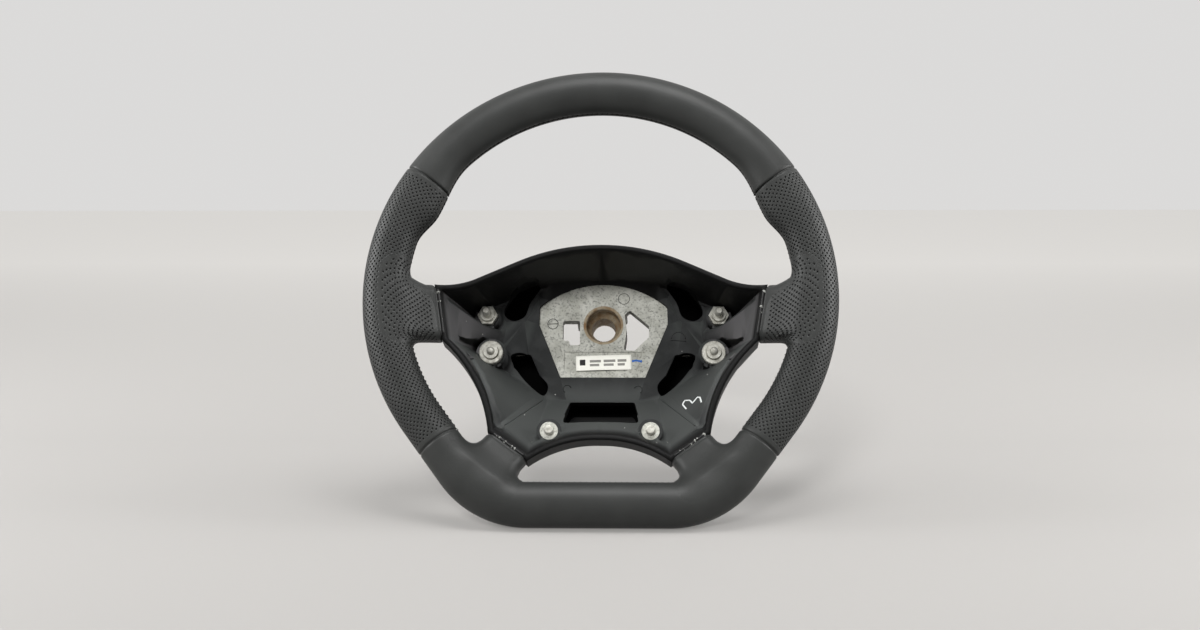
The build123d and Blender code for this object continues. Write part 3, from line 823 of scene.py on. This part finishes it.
def laid(name, path, width, height, onto, finish):
    """Low strip with a round back along (x, z) points, laid on the front of a piece.

    The section is half a sine wave. Its edges are sunk a little into the surface under it.
    """
    corners = np.array(path) * MM
    run = run_along(corners)
    line = between(np.linspace(0, run[-1], max(int(run[-1] / strip_pitch), 3) + 1), run, corners)
    ahead = unit(np.gradient(line, axis=0))
    beside = np.stack([-ahead[:, 1], ahead[:, 0]], -1)
    wave = np.linspace(-1, 1, 7)
    flat = line[:, None] + beside[:, None] * (wave * width / 2)[None, :, None]
    lift = height * np.cos(wave * np.pi / 2) - strip_sink
    hits = np.array([[front_of(onto, point) for point in across] for across in flat])
    top = hits[:, :, 0] + hits[:, :, 1] * lift[:, None]
    under = top[:, ::-1] + np.array([0, strip_depth, 0])
    return put(name, walls([np.concatenate([top, under], 1)]), finish)


def arc_points(x, z, radius, first, last, count=16):
    """Points (x, z) of an arc between two angles in degrees."""
    turn = np.radians(np.linspace(first, last, count))
    return np.stack([x + radius * np.cos(turn), z + radius * np.sin(turn)], -1)


# Painted shade: the near-black bead stands in for the shaded gap where the leather ends.
gap_shade = new_finish("painted_gap_shade", "#0c0c0c", 0.45)[0]
for hand, side in (("right", 1), ("left", -1)):
    mirror = np.array([side, 1])
    laid(f"parting_line_{hand}", parting_path * mirror, line_width, 0.4 * MM, dish, dish_skin)
    laid(f"tip_gap_shade_{hand}", tip_border * mirror, bead_width, bead_height, dish, gap_shade)
    laid(f"leg_gap_shade_{hand}", leg_border * mirror, bead_width, bead_height, dish, gap_shade)
for name, path, width in (
    ("mould_clock_right", arc_points(64, -13, 6, 0, 180), line_width),
    ("mould_clock_line", [(57.5, -14), (70.5, -15)], 1.1 * MM),
    ("mould_mark_left", arc_points(-30, -57, 3.4, 20, 240), line_width),
    ("mould_mark_right", arc_points(30, -57.5, 3.4, -60, 160), line_width),
):
    laid(name, path, width, clock_height, dish, dish_skin)


def flakes(name, spots, sizes, seed, finish):
    """Small ragged flakes on the front of the dish: flat six-sided pyramids with uneven corners."""
    chance = np.random.default_rng(seed)
    spin = np.radians(60) * np.arange(6)
    grids = []
    for spot, size in zip(spots, sizes):
        ground = np.array(front_of(dish, spot * MM)[0])
        uneven = size * MM * chance.uniform(0.35, 1.0, 6)
        flat = np.stack([uneven * np.cos(spin), np.zeros(6), uneven * np.sin(spin)], -1)
        rows = [flat + [0, flake_root, 0], flat - [0, flake_edge, 0], 0.4 * flat - [0, 0.3 * size * MM, 0]]
        grids.append(np.stack(rows)[::-1] + ground)
    return put(name, walls(grids), finish)


torn_spots, torn_sizes = [], []
chance = np.random.default_rng(5)
for border, count in ((tip_border, 9), (leg_border, 13)):
    for side in (1, -1):
        first, last = border * np.array([side, 1])
        torn_spots += [first + (last - first) * share for share in np.sort(chance.uniform(0, 1, count))]
        torn_sizes += chance.uniform(0.6, 2.0, count).tolist()
torn_edge = new_finish("torn_foam_edge", "#9a9b96", 0.9)[0]
flakes("torn_foam", torn_spots, torn_sizes, 7, torn_edge)
speck_spots = np.array([
    (-113, -9), (67, -24), (-40, -62), (88, -52), (-63, -88), (46, -118), (-101, -15), (20, -104),
])
lint = new_finish("dust_lint", "#b9b8b4", 0.9)[0]
flakes("dust_specks", speck_spots, [speck_size] * len(speck_spots), 3, lint)

paint = new_finish("white_paint", "#d8dcda", 0.6)[0]
stroke_path = [(70, -83), (67, -77), (69, -73.5), (73, -75), (75, -79), (79, -74.5), (81, -76), (82, -82)]
laid("paint_stroke", stroke_path, 1.5 * MM, 0.3 * MM, dish, paint)

# Armature
# Pressure die-cast magnesium alloy, left as cast: dull grey, stained and pitted, with the
# round marks of two mould inserts, drawn dark grey as painted shade in their grooves, and a
# dash of blue pen on the hub plate.
cast, tree, shader, place = new_finish("die_cast_alloy", "#b4b6a8", 0.6, 0.1)
broad, _ = mottle(tree, place, 9 * MM, 0.35, 0.65, "#a7a79e", "#c2c2ba")
pitted, pit_noise = mottle(tree, place, 1.6 * MM, 0.5, 0.74, broad, "#6f706b")
bump = add(tree, "Bump", {"Height": pit_noise, "Strength": 0.5, "Distance": 0.4 * MM})
feed(tree, shader, {"Base Color": pitted, "Normal": bump})
dress(cast, "armature", "lower_disc_left", "lower_disc_right")

# Painted shade: the insert marks are drawn dark grey for the shade in the grooves that outline them.
groove_shade = new_finish("painted_groove_shade", "#4c4d49", 0.7)[0]
pen = new_finish("blue_pen", "#2f62b0", 0.6)[0]
for name, path, width, height, finish in (
    ("insert_mark_left", arc_points(-43.3, 1.2, 4.5, 0, 360, 28), 0.8 * MM, 0.4 * MM, groove_shade),
    ("insert_line_left", [(-48, 1.0), (-38.6, 1.4)], 0.9 * MM, 0.4 * MM, groove_shade),
    ("insert_mark_right", arc_points(17.4, 23.6, 4.8, 0, 360, 28), 0.8 * MM, 0.3 * MM, groove_shade),
    ("pen_dash", [(24.6, -31.4), (28, -30.6), (33.2, -31.6)], 2.2 * MM, 0.25 * MM, pen),
):
    laid(name, path, width, height, nodes["armature"], finish)

# Hub bush
# Turned steel, cast into the hub, brown with light rust. The counterbore takes the bolt, and
# the bore has fine serrations for the shaft.
bush_low, bush_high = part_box("hub_bush")
bush_radius = (bush_high.x - bush_low.x) / 2
bore_radius = 10 * MM
counterbore_radius = 14.5 * MM
cone_front = -5 * MM
bush_bevel = 0.7 * MM
serration = 0.55 * MM
serration_count = 44
points_a_tooth = 6


def revolved(name, node, profile, count, finish):
    """Body of revolution about a node's own axis along Y, from a closed profile of (radius, y, ripple).

    The radius of each profile point grows by its ripple times a triangle wave, count waves a turn.
    """
    low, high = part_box(node)
    centre_x, centre_z = (low.x + high.x) / 2, (low.z + high.z) / 2
    points = count * points_a_tooth
    angle = np.linspace(0, 2 * np.pi, points, endpoint=False)
    wave = np.abs(np.mod(angle * count / np.pi, 2) - 1)
    radius, depth, ripple = np.array(profile).T[:, :, None]
    rippled = radius + ripple * wave
    depth = np.broadcast_to(depth, rippled.shape)
    grid = np.stack([centre_x + rippled * np.sin(angle), depth, centre_z + rippled * np.cos(angle)], -1)
    index = np.arange(len(profile) * points).reshape(-1, points)
    after, below = np.roll(index, -1, 1), np.roll(index, -1, 0)
    corner = np.roll(below, -1, 1)
    faces = np.stack([index, after, corner, below], -1).reshape(-1, 4).tolist()
    piece = put(name, (grid.reshape(-1, 3), faces, []), finish)
    piece.data.polygons.foreach_set("use_smooth", np.zeros(len(faces), bool))
    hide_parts(node)
    return piece


rusty, tree, shader, place = new_finish("rusty_steel", "#7d6a50", 0.55, 0.4)
brown, rust_noise = mottle(tree, place, 6 * MM, 0.38, 0.66, "#aca18b", "#8c7050")
scaled, _ = mottle(tree, place, 2.5 * MM, 0.6, 0.78, brown, "#5a4229")
bump = add(tree, "Bump", {"Height": rust_noise, "Strength": 0.4, "Distance": 0.3 * MM})
feed(tree, shader, {"Base Color": scaled, "Normal": bump})
bush_profile = [
    (bush_radius, bush_low.y, 0),
    (bush_radius, bush_high.y, 0),
    (bore_radius + bush_bevel, bush_high.y, 0),
    (bore_radius, bush_high.y - bush_bevel, serration),
    (bore_radius, bush_bevel, serration),
    (bore_radius + bush_bevel, 0, 0),
    (counterbore_radius, cone_front, 0),
    (counterbore_radius, bush_low.y + bush_bevel, 0),
    (counterbore_radius + bush_bevel, bush_low.y, 0),
]
bush = revolved("hub_bush_turned", "hub_bush", bush_profile, serration_count, rusty)

# Module studs
# Turned from round and hexagon bar, zinc plated, with a dull film in patches. Their shanks sit
# in bored holes. The flange of each side bush is knurled.
knurl = 0.35 * MM
knurl_count = 40
flange_bevel = 0.8 * MM
flange_height = 6 * MM
spigot_radius = 8 * MM
sleeve_gap = 0.1 * MM
mouth_bevel = 0.6 * MM
zinc, tree, shader, place = new_finish("zinc_plate", "#a3a298", 0.42, 0.55)
plated, _ = mottle(tree, place, 4 * MM, 0.35, 0.7, "#dcdbd2", "#a5a399")
edges = add(tree, "Bevel", {"Radius": 0.4 * MM}, samples=4)
feed(tree, shader, {"Base Color": plated, "Normal": edges})
for hand in ("left", "right"):
    flange_low, flange_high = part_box(f"side_bush_{hand}")
    sleeve_low, sleeve_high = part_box(f"side_sleeve_{hand}")
    flange_radius = (flange_high.x - flange_low.x) / 2
    sleeve_bore = (sleeve_high.x - sleeve_low.x) / 2 + sleeve_gap
    seat = flange_low.y + flange_height
    flange_profile = [
        (flange_radius - flange_bevel, flange_low.y, 0),
        (flange_radius - knurl, flange_low.y + flange_bevel, knurl),
        (flange_radius - knurl, seat - flange_bevel, knurl),
        (flange_radius - flange_bevel, seat, 0),
        (spigot_radius, seat, 0),
        (spigot_radius, flange_high.y, 0),
        (sleeve_bore, flange_high.y, 0),
        (sleeve_bore, flange_low.y + mouth_bevel, 0),
        (sleeve_bore + mouth_bevel, flange_low.y, 0),
    ]
    knurled = revolved(f"side_bush_{hand}_knurled", f"side_bush_{hand}", flange_profile, knurl_count, zinc)
    dress(zinc, *[f"{name}_{hand}" for name in ("upper_stud", "side_sleeve", "side_pin", "lower_stud")])

# Label
# White paper sticker on the hub plate, a little askew, its lower edge lifting. Its print is a
# dark square and two rows of grey bars.
label_low, label_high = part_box("label")
label_middle = (label_low + label_high) / 2
label_half = (label_high - label_low) / 2
label_tilt = math.radians(1.8)
paper_width = 0.985 * label_half.x
paper_height = 0.93 * label_half.z
paper_thickness = 0.2 * MM
curl_height = 2.6 * MM
curl_start = -0.1
ink_gap = 0.05 * MM
ink_thickness = 0.04 * MM
bar_taper = 0.06


def on_label(across, up, lift):
    """Point on the paper: shares of its half width and half height from the middle, tilted.

    Below a start the paper curls off by a parabola, most of all a little left of its middle.
    """
    x, z = across * paper_width, up * paper_height
    curl = curl_height * np.clip((curl_start - up) / (1 + curl_start), 0, 1) ** 2
    curl = curl * (0.6 + 0.4 * np.cos(across * 2.2 + 0.5))
    tilted_x = x * math.cos(label_tilt) - z * math.sin(label_tilt)
    tilted_z = x * math.sin(label_tilt) + z * math.cos(label_tilt)
    return np.stack([label_middle.x + tilted_x, label_high.y - lift - curl, label_middle.z + tilted_z], -1)


def printed(name, left, right, low, high, lift, thickness, finish):
    """Patch that follows the paper between shares of its width and height, with a back at its thickness."""
    columns, rows = 25, 9
    across, up = np.meshgrid(np.linspace(left, right, columns), np.linspace(low, high, rows))
    front = on_label(across, up, lift).reshape(-1, 3)
    index = np.arange(rows * columns).reshape(rows, columns)
    quads = np.stack([index[:-1, :-1], index[:-1, 1:], index[1:, 1:], index[1:, :-1]], -1).reshape(-1, 4)
    back = front + np.array([0, thickness, 0])
    rim = np.concatenate([index[0], index[1:, -1], index[-1, -2::-1], index[-2:0:-1, 0]])
    sides = np.stack([rim, rim + len(front), np.roll(rim, -1) + len(front), np.roll(rim, -1)], -1)
    faces = quads.tolist() + (quads[:, ::-1] + len(front)).tolist() + sides.tolist()
    return put(name, (np.concatenate([front, back]), faces, []), finish)


paper = new_finish("label_paper", "#f2f1e8", 0.75)[0]
sticker = printed("label_curled", -1, 1, -1, 1, paper_thickness, paper_thickness, paper)
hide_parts("label")
dark_print = new_finish("print_black", "#2b2b2b", 0.7)[0]
grey_print = new_finish("print_grey", "#8b8a85", 0.7)[0]
ink_lift = paper_thickness + ink_gap
printed("print_square", -0.86, -0.66, -0.25, 0.5, ink_lift, ink_thickness, dark_print)
for row, (low, high) in enumerate(((0.1, 0.42), (-0.4, -0.08))):
    for column, (left, right) in enumerate(((-0.5, -0.1), (0.0, 0.42), (0.5, 0.82))):
        end = right - bar_taper * row
        printed(f"print_bar_{row}_{column}", left, end, low, high, ink_lift, ink_thickness, grey_print)

# Rear cover
# Thin black ABS shell with a fine spark-eroded grain, held by two dark screws. Its inside, which
# faces forward, is painted near-black with little gloss, as painted shade.
inside_limit = -0.5
grained, tree, shader, place = new_finish("grained_abs", "#1f1f1f", 0.5)
cover_normal = add(tree, "NewGeometry", {}).outputs["Normal"]
backward = add(tree, "SeparateXYZ", {"Vector": cover_normal}).outputs["Y"]
# Painted shade: faces that look forward, the inside of the cover, are near-black.
inside = add(tree, "Math", {0: backward, 1: inside_limit}, operation="LESS_THAN")
shade = add(tree, "Mix", {"Factor": inside, "A": "#1f1f1f", "B": "#050505"}, data_type="RGBA")
gloss = add(tree, "MapRange", {"Value": inside, "To Min": 0.5, "To Max": 0.02})
feed(tree, shader, {"Base Color": shade, "Specular IOR Level": gloss})
moulded_grain(tree, shader, place, 0.8 * MM, 0.25, 4)
dress(grained, "rear_cover")
dark_steel = new_finish("dark_screw_steel", "#3a3a3c", 0.4, 1.0)[0]
dress(dark_steel, "cover_screw_left", "cover_screw_right")

# Floor, light and camera
# The wheel stands on its flat bottom and leans back, so in its own frame the floor slopes.
# From behind, the floor lets the view through.
floor_lean = math.radians(24)
floor_half = 3.0
area_size = 0.8
sun_angle = math.radians(12)
wheel_middle = Vector((0, rim_plane, 0))
floor_up = Vector((0, -math.sin(floor_lean), math.cos(floor_lean)))
floor_away = Vector((0, math.cos(floor_lean), math.sin(floor_lean)))
foot = Vector((0, rim_plane, rim_bottom)) - floor_up * grip_radius
corners = [foot + Vector((x * floor_half, 0, 0)) + floor_away * (y * floor_half)
           for x, y in ((-1, -1), (1, -1), (1, 1), (-1, 1))]
floor_mesh = bpy.data.meshes.new("floor")
floor_mesh.from_pydata(corners, [], [(0, 1, 2, 3)])
floor = placed("floor", floor_mesh)


def eye_ray(tree):
    """1 for rays from the camera, also by way of a mirror or glass, and 0 for all others."""
    ray = add(tree, "LightPath", {}).outputs
    straight = add(tree, "Math", {0: ray["Is Camera Ray"], 1: ray["Is Glossy Ray"]})
    return add(tree, "Math", {0: straight, 1: ray["Is Transmission Ray"]}, use_clamp=True)


# The floor is plain, pale and matt. To the eye it brightens with the distance, and other
# rays find it darker.
pale, tree, shader, place = new_finish("pale_floor", "#b4b2b0", 0.9)
seen = eye_ray(tree)
tint = add(tree, "Mix", {"Factor": seen, "A": "#7f7d7b", "B": "#868482"}, data_type="RGBA")
floor_y = add(tree, "SeparateXYZ", {"Vector": place}).outputs["Y"]
fade = {"Value": floor_y, "From Min": 0.2, "From Max": 1.6, "To Min": 0.2, "To Max": 0.54}
far = add(tree, "MapRange", fade)
glow = add(tree, "Math", {0: seen, 1: far}, operation="MULTIPLY")
feed(tree, shader, {"Base Color": tint, "Emission Color": "#f2f0ec", "Emission Strength": glow})
behind = add(tree, "NewGeometry", {}).outputs["Backfacing"]
clear = add(tree, "BsdfTransparent", {})
either = add(tree, "MixShader", {0: behind, 1: shader, 2: clear})
feed(tree, tree.nodes["Material Output"], {"Surface": either})
floor_mesh.materials.append(pale)

world = bpy.data.worlds.new("studio")
world.use_nodes = True
scene.world = world
tree = world.node_tree
strength = add(tree, "MapRange", {"Value": eye_ray(tree), "To Min": 0.25, "To Max": 0.8})
feed(tree, tree.nodes["Background"], {"Color": "#f2f1f0", "Strength": strength})

for name, kind, across, away, above, power in (
    ("key", "AREA", 0.1, -0.3, 1.5, 18.0),
    ("left_side", "AREA", -1.3, 0.0, 0.5, 16.0),
    ("right_side", "AREA", 1.3, 0.0, 0.5, 16.0),
    ("front", "SUN", -0.25, -1.45, 0.9, 2.6),
):
    light = bpy.data.lights.new(name, kind)
    light.energy = power
    if kind == "AREA":
        light.size = area_size
    else:
        light.angle = sun_angle
    lamp = placed(name, light)
    lamp.location = wheel_middle + Vector((across, 0, 0)) + floor_away * away + floor_up * above
    lamp.rotation_mode = "QUATERNION"
    lamp.rotation_quaternion = (wheel_middle - lamp.location).to_track_quat("-Z", "Y")
    lamp.visible_glossy = kind == "AREA"

view_yaw = Matrix.Rotation(math.radians(-2.0), 3, "Z")
view_lean = Matrix.Rotation(math.radians(-16.0), 3, "X")
view_roll = Matrix.Rotation(math.radians(0.6), 3, "Y")
view_distance = 1.4952
view_rise = 0.0165
view = view_roll @ view_lean @ view_yaw
camera = placed("camera", bpy.data.cameras.new("camera"))
camera.data.sensor_width = 36.0
camera.data.sensor_fit = "HORIZONTAL"
camera.data.lens = 55.5
camera_axes = Matrix((view[0], view[2], -view[1])).transposed()
camera_place = wheel_middle - view.transposed() @ Vector((0, view_distance, view_rise))
camera.matrix_world = Matrix.Translation(camera_place) @ camera_axes.to_4x4()
scene.camera = camera
